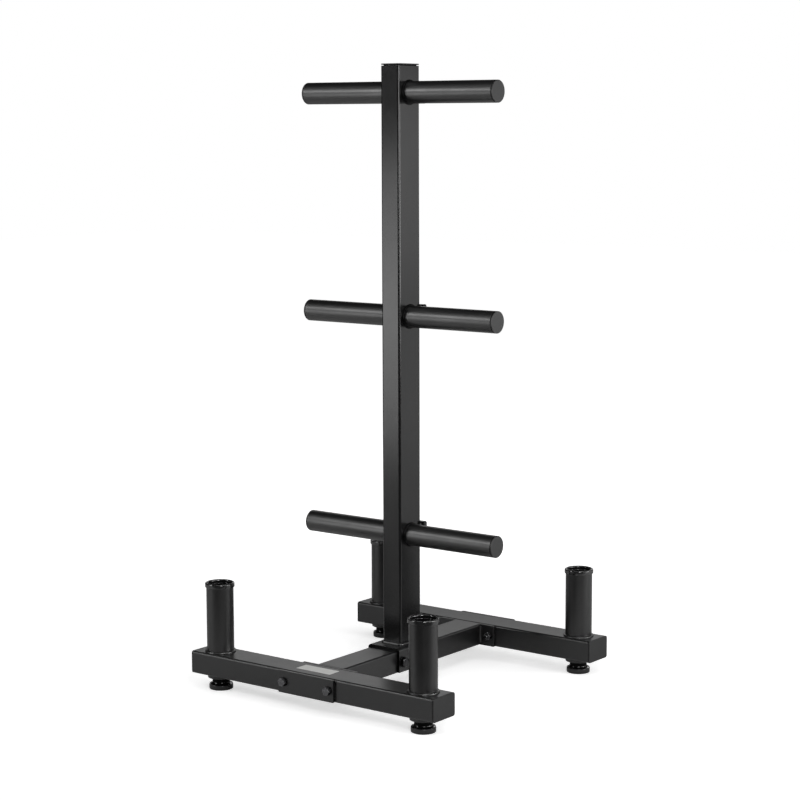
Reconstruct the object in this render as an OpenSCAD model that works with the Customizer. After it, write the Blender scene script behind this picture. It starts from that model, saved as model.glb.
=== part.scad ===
// Plate tree with four bar holders.
// Millimetres, +Z up. The origin is on the floor under the middle of the upright.
// X runs along the pegs and the foot beams, Y along the cross beam, and the label side is -Y.

/* [Upright] */
// Width of the upright across the faces that carry the pegs
upright_x = 50; // [40:1:70]
// Depth of the upright along the cross beam
upright_y = 75; // [60:1:90]
// Length of the upright tube above the saddle
upright_length = 1270; // [1200:1:1600]
// Wall of the upright tube
upright_wall = 2.5; // [2:0.1:4]
// Outside radius of the upright tube's corners
upright_corner = 5; // [4:0.1:8]

/* [Top cap] */
// Thickness of the cap's rim
top_rim_h = 2.7; // [2:0.1:5]
// Height of the shadow gap under the rim
top_neck_h = 1.8; // [1:0.1:3]
// How far the neck under the rim stands back from the tube's faces
top_neck_inset = 4.3; // [4.1:0.1:8]
// Depth of the plug inside the tube
top_plug_h = 22; // [12:1:30]

/* [Pegs] */
// Number of levels
peg_levels = 3; // [1:1:3]
// Outside diameter of a peg
peg_d = 48; // [30:0.5:49]
// Wall of a peg
peg_wall = 3; // [2:0.1:4]
// Length of a peg from the upright's face, without its cap
peg_length = 229.5; // [150:0.5:300]
// Distance from the upright tube's upper end down to the axis of the top pegs
peg_top_drop = 57; // [50:1:120]
// Distance from one level to the next
peg_pitch = 484.5; // [300:0.5:490]
// Thickness of a peg cap's disc
peg_cap_h = 3; // [2:0.1:5]
// Width of the groove behind the disc
peg_groove = 0.5; // [0.4:0.1:1.5]
// Depth of the cap's plug inside the peg
peg_plug_h = 15; // [8:1:25]

/* [Back plates] */
// Width of the plate behind each pair of pegs
back_plate_w = 70; // [55:1:80]
// Height of the plate behind each pair of pegs
back_plate_h = 48; // [30:1:60]
// Thickness of the plate behind each pair of pegs
back_plate_t = 10; // [5:0.5:12]

/* [Base] */
// Length of each foot beam's tube, without its caps
beam_length = 658; // [600:1:800]
// Distance between the middles of the two foot beams
beam_spacing = 588; // [500:1:700]
// Width of the foot beams
beam_w = 75; // [70:1:90]
// Height of the foot beams
beam_h = 50; // [48:1:60]
// Width of the cross beam
cross_w = 75; // [60:1:90]
// Height of the cross beam
cross_h = 50; // [44:1:60]
// Wall of the foot beams and the cross beam
beam_wall = 2.5; // [2:0.1:4]
// Outside radius of the beams' corners
beam_corner = 5; // [4:0.1:8]
// Thickness of the rim of a foot beam's cap
beam_cap_h = 3; // [2:0.1:5]
// Depth of the cap's plug inside the foot beam
beam_plug_h = 20; // [12:1:30]

/* [Joint and clamp plates] */
// Thickness of the joint plates and clamp plates
plate_t = 6; // [4:0.5:8]
// Length of the plates along the foot beams
plate_length = 151; // [148:1:170]
// Height of the plates
plate_h = 49; // [40:0.5:50]
// Radius of the plates' corners
plate_corner = 2; // [1:0.5:6]
// Distance between the two bolts of a plate
clamp_bolt_spacing = 122; // [118:1:128]

/* [Saddle] */
// Thickness of the saddle
saddle_t = 6; // [4:0.5:8]
// Length of the saddle along the cross beam
saddle_length = 134; // [120:1:160]
// Inside radius of the saddle's two bends
saddle_bend = 2; // [1:0.5:3]
// How far the flanges stop short of the cross beam's underside
saddle_short = 2; // [0:0.5:8]
// Distance between the two bolts of the saddle
saddle_bolt_spacing = 110; // [96:1:114]

/* [Fasteners] */
// Shank diameter of the clamp bolts
clamp_bolt_d = 10; // [8:1:12]
// Shank diameter of the saddle bolts
saddle_bolt_d = 12; // [8:1:12]
// Clearance of a bolt in its hole, on the diameter
hole_clearance = 1; // [0.5:0.1:1.5]
// How far a bolt stands out of its nut
bolt_tail = 3; // [2:0.5:6]

/* [Bar sleeves] */
// Outside diameter of a bar sleeve
sleeve_d = 60; // [59:0.5:63]
// Wall of a bar sleeve
sleeve_wall = 2.5; // [2:0.1:3]
// Height of a bar sleeve above the foot beam
sleeve_height = 151; // [100:1:250]
// Distance from the end of a foot beam's tube to a sleeve's axis
sleeve_inset = 50; // [45:1:100]

/* [Collars] */
// Diameter of the hole that takes a bar
collar_hole_d = 52; // [51:0.5:53]
// How far the liner reaches down into the sleeve
collar_liner_h = 36; // [20:1:60]
// How far the lip reaches down outside the sleeve
collar_skirt_h = 6; // [3:0.5:12]
// Thickness of the lip outside the sleeve
collar_skirt_t = 2.4; // [1.5:0.1:4]
// Thickness of the lip above the sleeve
collar_top_h = 4; // [2.5:0.1:6]

/* [Levelling feet] */
// Diameter of a pad
pad_d = 52.6; // [46:0.2:60]
// Height of a pad's rim
pad_rim_h = 11.5; // [11:0.1:14]
// Height of the slope above the rim
pad_slope_h = 2.5; // [1:0.1:3]
// Diameter of a pad's neck
pad_neck_d = 39; // [34:0.5:44]
// Height of a pad's neck
pad_neck_h = 11.7; // [9:0.1:16]
// Gap between a pad's neck and the boss above it, at rest
pad_gap = 0.3; // [0.3:0.1:2]
// Diameter of the boss under a foot beam
boss_d = 58; // [46:1:64]
// Height of the boss under a foot beam
boss_h = 8; // [5:0.5:12]
// Diameter of a stud
stud_d = 12; // [10:1:14]
// Length of a stud's thread above its head
stud_length = 52; // [48:1:58]
// Diameter of a stud's head
stud_head_d = 20; // [18:0.5:24]
// Thickness of a stud's head
stud_head_h = 5; // [4:0.5:5]

/* [Label] */
// Length of the bare label
label_length = 92; // [60:1:110]
// Width of the bare label
label_w = 33; // [20:1:40]
// Thickness of the label
label_t = 0.5; // [0.4:0.1:1]
// Shift of the label from the middle of the front foot beam, along X
label_x = -4; // [-20:1:20]
// Shift of the label from the middle of the front foot beam, along Y
label_y = 3; // [-5:1:10]

/* [Hidden] */
$fn = 96;
slip = 0.05; // radial clearance of a plug in its tube, and of a stud in its hole
steel = [0.07, 0.07, 0.075];
plastic = [0.045, 0.045, 0.05];
zinc = [0.16, 0.16, 0.17];
pale = [0.62, 0.62, 0.6];

pad_h = pad_rim_h + pad_slope_h + pad_neck_h;
beam_bottom = pad_h + pad_gap + boss_h;
beam_mid = beam_bottom + beam_h / 2;
beam_top = beam_bottom + beam_h;
cross_top = beam_mid + cross_h / 2;
saddle_top = cross_top + saddle_t;
upright_top = saddle_top + upright_length;
half_spacing = beam_spacing / 2;
joint_plate_y = half_spacing - beam_w / 2 - plate_t;
clamp_plate_y = half_spacing + beam_w / 2;
beam_end = beam_length / 2;
sleeve_x = beam_end - sleeve_inset;
sleeve_bore_d = sleeve_d - 2 * sleeve_wall;
saddle_outer_w = cross_w + 2 * saddle_t;
saddle_bottom = beam_mid - cross_h / 2 + saddle_short;
clamp_grip = beam_w + 2 * plate_t;
boss_spigot_d = stud_d + 10;
boss_spigot_h = 12; // how far the threaded spigot reaches above the boss, into the foot beam
stud_head_z = 5.4; // height of the pad's pocket above the floor

// A nut's or head's size across flats, height, and the washer that goes with it
function hex_flats(d) = d <= 8 ? 13 : d <= 10 ? 17 : 19;
function head_h(d) = 0.64 * d;
function nut_h(d) = 0.9 * d;
function washer_d(d) = 2 * d;
function washer_t(d) = d <= 8 ? 1.6 : d <= 10 ? 2 : 2.5;

// Corners of the base: name, side along X, side along Y
CORNERS = [
    ["front_left", -1, -1],
    ["front_right", 1, -1],
    ["rear_right", 1, 1],
    ["rear_left", -1, 1]
];
LEVELS = ["low", "middle", "top"];
SIDES = [["left", -1], ["right", 1]];

// Outlines

module rounded_rect(w, h, r) {
    square([w - 2 * r, h], center = true);
    square([w, h - 2 * r], center = true);
    for (sx = [-1, 1], sy = [-1, 1])
        translate([sx * (w / 2 - r), sy * (h / 2 - r)]) circle(r = r);
}

module tube_outline(w, h, r, wall) {
    difference() {
        rounded_rect(w, h, r);
        rounded_rect(w - 2 * wall, h - 2 * wall, r - wall);
    }
}

// Turned shapes and placing

module ring(d_out, d_in, h) {
    difference() {
        cylinder(d = d_out, h = h);
        translate([0, 0, -1]) cylinder(d = d_in, h = h + 2);
    }
}

module at_corner(c) {
    translate([c[1] * sleeve_x, c[2] * half_spacing, 0]) children();
}

// Turns a shape that is drawn along +Z so that it runs along X, towards side s
module along_x(s) {
    rotate([0, s * 90, 0]) children();
}

// Turns a shape that is drawn along +Z so that it runs along Y, towards side s
module along_y(s) {
    rotate([-s * 90, 0, 0]) children();
}

// Upright

module upright() {
    color(steel)
        translate([0, 0, saddle_top])
            linear_extrude(upright_length)
                tube_outline(upright_x, upright_y, upright_corner, upright_wall);
}

module upright_cap() {
    plug_gap = 2 * (upright_wall + slip);
    color(plastic) translate([0, 0, upright_top]) {
        translate([0, 0, top_neck_h])
            linear_extrude(top_rim_h) rounded_rect(upright_x, upright_y, upright_corner);
        translate([0, 0, -top_plug_h])
            linear_extrude(top_plug_h + top_neck_h)
                rounded_rect(
                    upright_x - 2 * top_neck_inset,
                    upright_y - 2 * top_neck_inset,
                    upright_corner - upright_wall
                );
        // Lamellae that grip the tube's inside, the upper one flush with its end
        for (z = [-top_plug_h + 3, -top_plug_h / 2 - 1, -2])
            translate([0, 0, z])
                linear_extrude(2)
                    rounded_rect(
                        upright_x - plug_gap, upright_y - plug_gap, upright_corner - upright_wall - slip
                    );
    }
}

// Pegs

function peg_z(i) = upright_top - peg_top_drop - (len(LEVELS) - 1 - i) * peg_pitch;

module peg(i, s) {
    color(steel)
        translate([s * upright_x / 2, 0, peg_z(i)])
            along_x(s) ring(peg_d, peg_d - 2 * peg_wall, peg_length);
}

module peg_cap(i, s) {
    bore = peg_d - 2 * peg_wall;
    edge = 1;
    color(plastic)
        translate([s * (upright_x / 2 + peg_length), 0, peg_z(i)])
            along_x(s) rotate_extrude() polygon([
                [0, -peg_plug_h],
                [bore / 2 - 1.5, -peg_plug_h],
                [bore / 2 - slip, -peg_plug_h + 2],
                [bore / 2 - slip, 0],
                [peg_d / 2 - 1.2, 0],
                [peg_d / 2 - 1.2, peg_groove],
                [peg_d / 2, peg_groove],
                [peg_d / 2, peg_groove + peg_cap_h - edge],
                [peg_d / 2 - edge, peg_groove + peg_cap_h],
                [0, peg_groove + peg_cap_h]
            ]);
}

module back_plate(i) {
    color(steel)
        translate([0, upright_y / 2, peg_z(i)])
            along_y(1) linear_extrude(back_plate_t) rounded_rect(back_plate_w, back_plate_h, 4);
}

// Saddle, bent over the cross beam

module saddle_outline() {
    outer_r = saddle_bend + saddle_t;
    drop = saddle_top - saddle_bottom;
    translate([-saddle_outer_w / 2 + outer_r, 0]) square([saddle_outer_w - 2 * outer_r, saddle_t]);
    for (s = [-1, 1]) {
        translate([s * (saddle_outer_w / 2 - saddle_t / 2), -(drop - saddle_t) / 2 - saddle_bend / 2])
            square([saddle_t, drop - saddle_t - saddle_bend], center = true);
        intersection() {
            translate([s * (saddle_outer_w / 2 - outer_r), saddle_t - outer_r]) difference() {
                circle(r = outer_r);
                circle(r = saddle_bend);
            }
            translate([s * (saddle_outer_w / 2 - outer_r / 2), saddle_t - outer_r / 2])
                square([outer_r, outer_r], center = true);
        }
    }
}

module saddle() {
    color(steel) difference() {
        translate([0, saddle_length / 2, cross_top])
            rotate([90, 0, 0]) linear_extrude(saddle_length) saddle_outline();
        saddle_holes();
    }
}

module saddle_holes() {
    for (s = [-1, 1])
        translate([-saddle_outer_w, s * saddle_bolt_spacing / 2, beam_mid])
            along_x(1) cylinder(d = saddle_bolt_d + hole_clearance, h = 2 * saddle_outer_w);
}

// Base

module cross_beam() {
    color(steel) difference() {
        translate([0, joint_plate_y, beam_mid])
            rotate([90, 0, 0])
                linear_extrude(2 * joint_plate_y) tube_outline(cross_w, cross_h, beam_corner, beam_wall);
        saddle_holes();
    }
}

module clamp_holes() {
    for (sx = [-1, 1], sy = [-1, 1])
        translate([sx * clamp_bolt_spacing / 2, sy * joint_plate_y, beam_mid])
            along_y(sy)
                translate([0, 0, -plate_t])
                    cylinder(d = clamp_bolt_d + hole_clearance, h = beam_w + 4 * plate_t);
}

module bolted_plate(y, s) {
    color(steel) difference() {
        translate([0, s * y, beam_mid])
            along_y(s) linear_extrude(plate_t) rounded_rect(plate_length, plate_h, plate_corner);
        clamp_holes();
    }
}

module foot_beam(s) {
    color(steel) difference() {
        translate([-beam_end, s * half_spacing, beam_mid])
            rotate([90, 0, 90])
                linear_extrude(beam_length) tube_outline(beam_w, beam_h, beam_corner, beam_wall);
        clamp_holes();
        for (c = CORNERS)
            at_corner(c)
                translate([0, 0, beam_bottom - 1])
                    cylinder(d = boss_spigot_d + 2 * slip, h = beam_wall + 2);
    }
}

module beam_cap(c) {
    color(plastic)
        translate([c[1] * beam_end, c[2] * half_spacing, beam_mid])
            rotate([90, 0, c[1] * 90]) {
                linear_extrude(beam_cap_h) rounded_rect(beam_w, beam_h, beam_corner);
                translate([0, 0, -beam_plug_h])
                    linear_extrude(beam_plug_h)
                        tube_outline(
                            beam_w - 2 * (beam_wall + slip),
                            beam_h - 2 * (beam_wall + slip),
                            beam_corner - beam_wall - slip,
                            2
                        );
            }
}

// Bar sleeves

module bar_sleeve(c) {
    color(steel) at_corner(c) translate([0, 0, beam_top]) ring(sleeve_d, sleeve_bore_d, sleeve_height);
}

module sleeve_collar(c) {
    hole_r = collar_hole_d / 2;
    liner_r = sleeve_bore_d / 2 - slip;
    seat_r = sleeve_d / 2 + slip;
    lip_r = seat_r + collar_skirt_t;
    edge = 1;
    color(plastic)
        at_corner(c)
            translate([0, 0, beam_top + sleeve_height]) rotate_extrude() polygon([
                [hole_r, -collar_liner_h],
                [liner_r, -collar_liner_h],
                [liner_r, 0],
                [seat_r, 0],
                [seat_r, -collar_skirt_h],
                [lip_r, -collar_skirt_h],
                [lip_r, collar_top_h - edge],
                [lip_r - edge, collar_top_h],
                [hole_r + edge, collar_top_h],
                [hole_r, collar_top_h - edge]
            ]);
}

// Levelling feet

module foot_boss(c) {
    color(steel) at_corner(c) translate([0, 0, beam_bottom - boss_h]) difference() {
        union() {
            cylinder(d = boss_d, h = boss_h);
            cylinder(d = boss_spigot_d, h = boss_h + boss_spigot_h);
        }
        translate([0, 0, -1]) cylinder(d = stud_d, h = boss_h + boss_spigot_h + 2);
    }
}

module foot_pad(c) {
    r = pad_d / 2;
    neck_r = pad_neck_d / 2;
    edge = 1;
    pocket_r = stud_head_d / 2 + slip;
    pocket_top = stud_head_z + stud_head_h + 2 * slip;
    stud_r = stud_d / 2;
    color(plastic) at_corner(c) rotate_extrude() polygon([
        [0, 0],
        [r - edge, 0],
        [r, edge],
        [r, pad_rim_h - edge],
        [r - edge, pad_rim_h],
        [neck_r + 1.5, pad_rim_h + pad_slope_h],
        [neck_r, pad_rim_h + pad_slope_h],
        [neck_r, pad_h],
        [stud_r, pad_h],
        [stud_r, pocket_top],
        [pocket_r, pocket_top],
        [pocket_r, stud_head_z],
        [0, stud_head_z]
    ]);
}

module foot_stud(c) {
    color(zinc) at_corner(c) translate([0, 0, stud_head_z + slip]) {
        cylinder(d = stud_head_d, h = stud_head_h);
        cylinder(d = stud_d - 2 * slip, h = stud_head_h + stud_length);
    }
}

// Fasteners, drawn along +Z from the face that the head's washer lies on

module hex_bolt(d, grip, turn) {
    flats = hex_flats(d);
    shank = grip + 2 * washer_t(d) + nut_h(d) + bolt_tail;
    translate([0, 0, -washer_t(d)]) {
        translate([0, 0, -head_h(d)]) intersection() {
            rotate(turn) cylinder(d = flats / cos(30), h = head_h(d), $fn = 6);
            rotate_extrude() polygon([
                [0, 0],
                [flats / 2 - 0.3, 0],
                [flats / 2 + 2, 1.4],
                [flats / 2 + 2, head_h(d)],
                [0, head_h(d)]
            ]);
        }
        cylinder(d = d, h = shank);
    }
}

module washer(d, grip) {
    for (z = [-washer_t(d), grip])
        translate([0, 0, z]) ring(washer_d(d), d + 2 * slip, washer_t(d));
}

module lock_nut(d, grip, turn) {
    collar_h = 0.25 * d;
    translate([0, 0, grip + washer_t(d)]) difference() {
        union() {
            rotate(turn) cylinder(d = hex_flats(d) / cos(30), h = nut_h(d) - collar_h, $fn = 6);
            cylinder(d = hex_flats(d) - 2, h = nut_h(d));
        }
        translate([0, 0, -1]) cylinder(d = d + 2 * slip, h = nut_h(d) + 2);
    }
}

// The two saddle bolts run towards -X, with their heads on the right
module each_saddle_bolt() {
    for (s = [-1, 1])
        translate([saddle_outer_w / 2, s * saddle_bolt_spacing / 2, beam_mid])
            along_x(-1) children();
}

// The four clamp bolts run inwards from the clamp plates
module each_clamp_bolt() {
    for (sx = [-1, 1], sy = [-1, 1])
        translate([sx * clamp_bolt_spacing / 2, sy * (clamp_plate_y + plate_t), beam_mid])
            along_y(-sy) children();
}

module saddle_bolts() {
    color(zinc) each_saddle_bolt() hex_bolt(saddle_bolt_d, saddle_outer_w, 20);
}

module saddle_washers() {
    color(zinc) each_saddle_bolt() washer(saddle_bolt_d, saddle_outer_w);
}

module saddle_nuts() {
    color(zinc) each_saddle_bolt() lock_nut(saddle_bolt_d, saddle_outer_w, 10);
}

module clamp_bolts() {
    color(zinc) each_clamp_bolt() hex_bolt(clamp_bolt_d, clamp_grip, 15);
}

module clamp_washers() {
    color(zinc) each_clamp_bolt() washer(clamp_bolt_d, clamp_grip);
}

module clamp_nuts() {
    color(zinc) each_clamp_bolt() lock_nut(clamp_bolt_d, clamp_grip, 25);
}

// Bare label on top of the front foot beam

module label() {
    color(pale)
        translate([label_x, label_y - half_spacing, beam_top])
            linear_extrude(label_t) rounded_rect(label_length, label_w, 1.5);
}

upright();
upright_cap();
saddle();
cross_beam();
bolted_plate(joint_plate_y, -1);  // front_joint_plate
bolted_plate(joint_plate_y, 1);  // rear_joint_plate
foot_beam(-1);  // front_foot_beam
foot_beam(1);  // rear_foot_beam
bolted_plate(clamp_plate_y, -1);  // front_clamp_plate
bolted_plate(clamp_plate_y, 1);  // rear_clamp_plate
for (c = CORNERS) {
    beam_cap(c);
    bar_sleeve(c);
    sleeve_collar(c);
    foot_boss(c);
    foot_pad(c);
    foot_stud(c);
}
for (i = [0 : peg_levels - 1]) {
    for (s = SIDES) {
        peg(i, s[1]);
        peg_cap(i, s[1]);
    }
    back_plate(i);
}
saddle_bolts();
saddle_washers();
saddle_nuts();
clamp_bolts();
clamp_washers();
clamp_nuts();
label();
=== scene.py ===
import math

import bmesh
import bpy
from mathutils import Matrix, Vector


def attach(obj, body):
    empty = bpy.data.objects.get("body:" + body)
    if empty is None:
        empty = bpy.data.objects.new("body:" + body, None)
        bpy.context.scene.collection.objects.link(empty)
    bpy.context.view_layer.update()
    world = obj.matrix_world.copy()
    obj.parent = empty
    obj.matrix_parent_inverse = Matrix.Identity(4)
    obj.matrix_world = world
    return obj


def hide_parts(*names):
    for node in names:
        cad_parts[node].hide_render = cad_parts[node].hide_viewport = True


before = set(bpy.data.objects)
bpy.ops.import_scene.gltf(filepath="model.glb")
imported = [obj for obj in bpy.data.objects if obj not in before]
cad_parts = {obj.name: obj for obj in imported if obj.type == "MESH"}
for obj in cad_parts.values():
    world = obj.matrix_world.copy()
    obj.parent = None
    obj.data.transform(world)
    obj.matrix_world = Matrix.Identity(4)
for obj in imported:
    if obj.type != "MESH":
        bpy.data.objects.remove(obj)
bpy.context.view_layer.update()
print("frame loaded:", len(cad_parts), "nodes")

mm = 0.001
mergeDistance = 0.000001
axisRadius = 0.01  # a turned profile starts this far off its axis, in millimetres

# Where things stand, in millimetres, as the frame has them
corners = {
    "front_left": (-279, -294),
    "front_right": (279, -294),
    "rear_right": (279, 294),
    "rear_left": (-279, 294),
}
levels = {"low": 334.0, "middle": 818.5, "top": 1303.0}
sides = {"left": -1, "right": 1}
ends = {"front": -1, "rear": 1}


# Small helpers

def basis(origin, along, across):
    w = Vector(along).normalized()
    u = Vector(across).normalized()
    v = w.cross(u)
    turn = Matrix((u, v, w)).transposed().to_4x4()
    return Matrix.Translation(Vector(origin)) @ turn


def roundedRect(width, height, radius, steps=10):
    points = []
    for turn, (sx, sy) in enumerate(((1, 1), (-1, 1), (-1, -1), (1, -1))):
        cx = sx * (width / 2 - radius)
        cy = sy * (height / 2 - radius)
        for i in range(steps + 1):
            a = math.radians(90 * turn + 90 * i / steps)
            points.append((cx + radius * math.cos(a), cy + radius * math.sin(a)))
    return points


def ring(radius, count=96):
    angles = [2 * math.pi * i / count for i in range(count)]
    return [(radius * math.cos(a), radius * math.sin(a)) for a in angles]


def arc(x, y, radius, start, end, steps):
    angles = [math.radians(start + (end - start) * i / steps) for i in range(steps + 1)]
    return [(x + radius * math.cos(a), y + radius * math.sin(a)) for a in angles]


def uprightLine(x, y, low, length, steps=12):
    return [(x, y, low + i * length / steps) for i in range(steps + 1)]


def addObject(name, data):
    thing = bpy.data.objects.new(name, data)
    bpy.context.scene.collection.objects.link(thing)
    return thing


def newPiece(name, points, faces, material, smooth=True):
    mesh = bpy.data.meshes.new(name)
    mesh.from_pydata([tuple(Vector(p) * mm) for p in points], [], faces)
    work = bmesh.new()
    work.from_mesh(mesh)
    bmesh.ops.remove_doubles(work, verts=work.verts, dist=mergeDistance)
    bmesh.ops.recalc_face_normals(work, faces=work.faces)
    work.to_mesh(mesh)
    work.free()
    mesh.materials.append(material)
    if smooth:
        mesh.shade_smooth()
    return addObject(name, mesh)


def settle(piece):
    # The evaluated shape becomes the piece's own plain mesh
    bpy.context.view_layer.update()
    evaluated = piece.evaluated_get(bpy.context.evaluated_depsgraph_get())
    mesh = bpy.data.meshes.new_from_object(evaluated)
    mesh.name = piece.name
    piece.modifiers.clear()
    piece.data = mesh
    return piece


def soften(piece, width, steps=3, angle=30):
    # Rounds the edges that are sharper than angle, and keeps flat faces flat in the shading
    if width:
        bevel = piece.modifiers.new("edges", "BEVEL")
        bevel.width = width * mm
        bevel.segments = steps
        bevel.limit_method = "ANGLE"
        bevel.angle_limit = math.radians(angle)
        bevel.use_clamp_overlap = True
    even = piece.modifiers.new("even", "WEIGHTED_NORMAL")
    even.keep_sharp = True
    settle(piece)


def extruded(name, outline, low, high, place, material):
    n = len(outline)
    points = [place @ Vector((u, v, low)) for u, v in outline]
    points += [place @ Vector((u, v, high)) for u, v in outline]
    faces = [tuple(range(n - 1, -1, -1)), tuple(range(n, 2 * n))]
    faces += [(i, (i + 1) % n, n + (i + 1) % n, n + i) for i in range(n)]
    return newPiece(name, points, faces, material)


def stackFaces(rows, n, closed):
    # Rows of n points each, joined to the next row. An open stack gets a face at each end.
    faces = []
    for row in range(rows if closed else rows - 1):
        a = row * n
        b = ((row + 1) % rows) * n
        faces += [(a + i, a + (i + 1) % n, b + (i + 1) % n, b + i) for i in range(n)]
    if not closed:
        faces.append(tuple(range(n - 1, -1, -1)))
        faces.append(tuple(range((rows - 1) * n, rows * n)))
    return faces


def pipe(inner, outer, low, high):
    return [(inner, low), (outer, low), (outer, high), (inner, high)]


def turned(name, profile, place, material, closed=False, count=96):
    # profile: (radius, height) from one end of the axis to the other, or all the way round where closed
    points = []
    for radius, height in profile:
        points += [place @ Vector((u, v, height)) for u, v in ring(radius, count)]
    return newPiece(name, points, stackFaces(len(profile), count, closed), material)


def joined(name, pieces):
    material = pieces[0].data.materials[0]
    work = bmesh.new()
    for piece in pieces:
        work.from_mesh(piece.data)
    whole = bpy.data.meshes.new(name)
    work.to_mesh(whole)
    work.free()
    whole.materials.append(material)
    for piece in pieces:
        bpy.data.objects.remove(piece)
    return addObject(name, whole)


def paintFaces(piece, material, chosen):
    # chosen says for a face's normal whether it gets the second material
    mesh = piece.data
    mesh.materials.append(material)
    for face in mesh.polygons:
        if chosen(face.normal):
            face.material_index = len(mesh.materials) - 1


def standFor(piece, body, slot, *nodes):
    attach(piece, body)
    if nodes:
        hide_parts(*nodes)


# Materials

def link(tree, source, output, target, socket):
    tree.links.new(source.outputs[output], target.inputs[socket])


def blankTree(owner, outKind):
    # The owner's node tree with only its output in it
    owner.use_nodes = True
    tree = owner.node_tree
    tree.nodes.clear()
    return tree, tree.nodes.new(outKind)


def noiseNode(tree, coordinates, scale, detail, roughness=0.5):
    node = tree.nodes.new("ShaderNodeTexNoise")
    node.inputs["Scale"].default_value = scale
    node.inputs["Detail"].default_value = detail
    node.inputs["Roughness"].default_value = roughness
    link(tree, coordinates, "Object", node, "Vector")
    return node


def rangeNode(tree, source, output, low, high, fromLow=0.3, fromHigh=0.7):
    node = tree.nodes.new("ShaderNodeMapRange")
    node.inputs["From Min"].default_value = fromLow
    node.inputs["From Max"].default_value = fromHigh
    node.inputs["To Min"].default_value = low
    node.inputs["To Max"].default_value = high
    link(tree, source, output, node, "Value")
    return node


def bumpNode(tree, source, output, strength, height):
    node = tree.nodes.new("ShaderNodeBump")
    node.inputs["Strength"].default_value = strength
    node.inputs["Distance"].default_value = height * mm
    link(tree, source, output, node, "Height")
    return node


# What a finish has where its own entry says nothing else: a cloud in the colour, patches in the
# roughness, and the low peel of sprayed paint. The heights are in millimetres.
plainLook = {
    "metallic": 0.0, "ior": 1.5, "cloud": 0.25, "cloudScale": 14.0, "cloudDetail": 4.0,
    "patchScale": 30.0, "patchDetail": 3.0,
    "peelScale": 650.0, "peelDetail": 2.0, "peelRoughness": 0.45, "peelHeight": 0.02, "peelStrength": 0.2,
}


def finishMaterial(name, ownLook):
    look = {**plainLook, **ownLook}
    material = bpy.data.materials.new(name)
    tree, out = blankTree(material, "ShaderNodeOutputMaterial")
    shader = tree.nodes.new("ShaderNodeBsdfPrincipled")
    link(tree, shader, "BSDF", out, "Surface")
    shader.inputs["Metallic"].default_value = look["metallic"]
    shader.inputs["IOR"].default_value = look["ior"]
    coordinates = tree.nodes.new("ShaderNodeTexCoord")

    cloud = noiseNode(tree, coordinates, look["cloudScale"], look["cloudDetail"])
    mix = tree.nodes.new("ShaderNodeMix")
    mix.data_type = "RGBA"
    share = look["cloud"]
    mix.inputs["A"].default_value = [c * (1 - share) for c in look["colour"]] + [1]
    mix.inputs["B"].default_value = [c * (1 + share) for c in look["colour"]] + [1]
    factor = rangeNode(tree, cloud, "Fac", 0.0, 1.0)
    link(tree, factor, "Result", mix, "Factor")
    link(tree, mix, "Result", shader, "Base Color")

    patch = noiseNode(tree, coordinates, look["patchScale"], look["patchDetail"])
    rough = look["roughness"]
    result = rangeNode(tree, patch, "Fac", rough - look["spread"], rough + look["spread"])
    link(tree, result, "Result", shader, "Roughness")

    peel = noiseNode(tree, coordinates, look["peelScale"], look["peelDetail"], look["peelRoughness"])
    relief = bumpNode(tree, peel, "Fac", look["peelStrength"], look["peelHeight"])
    if "grainScale" in look:
        grain = tree.nodes.new("ShaderNodeTexVoronoi")
        grain.inputs["Scale"].default_value = look["grainScale"]
        link(tree, coordinates, "Object", grain, "Vector")
        fine = bumpNode(tree, grain, "Distance", look["grainStrength"], look["grainHeight"])
        link(tree, relief, "Normal", fine, "Normal")
        relief = fine
    link(tree, relief, "Normal", shader, "Normal")
    return material


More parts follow.
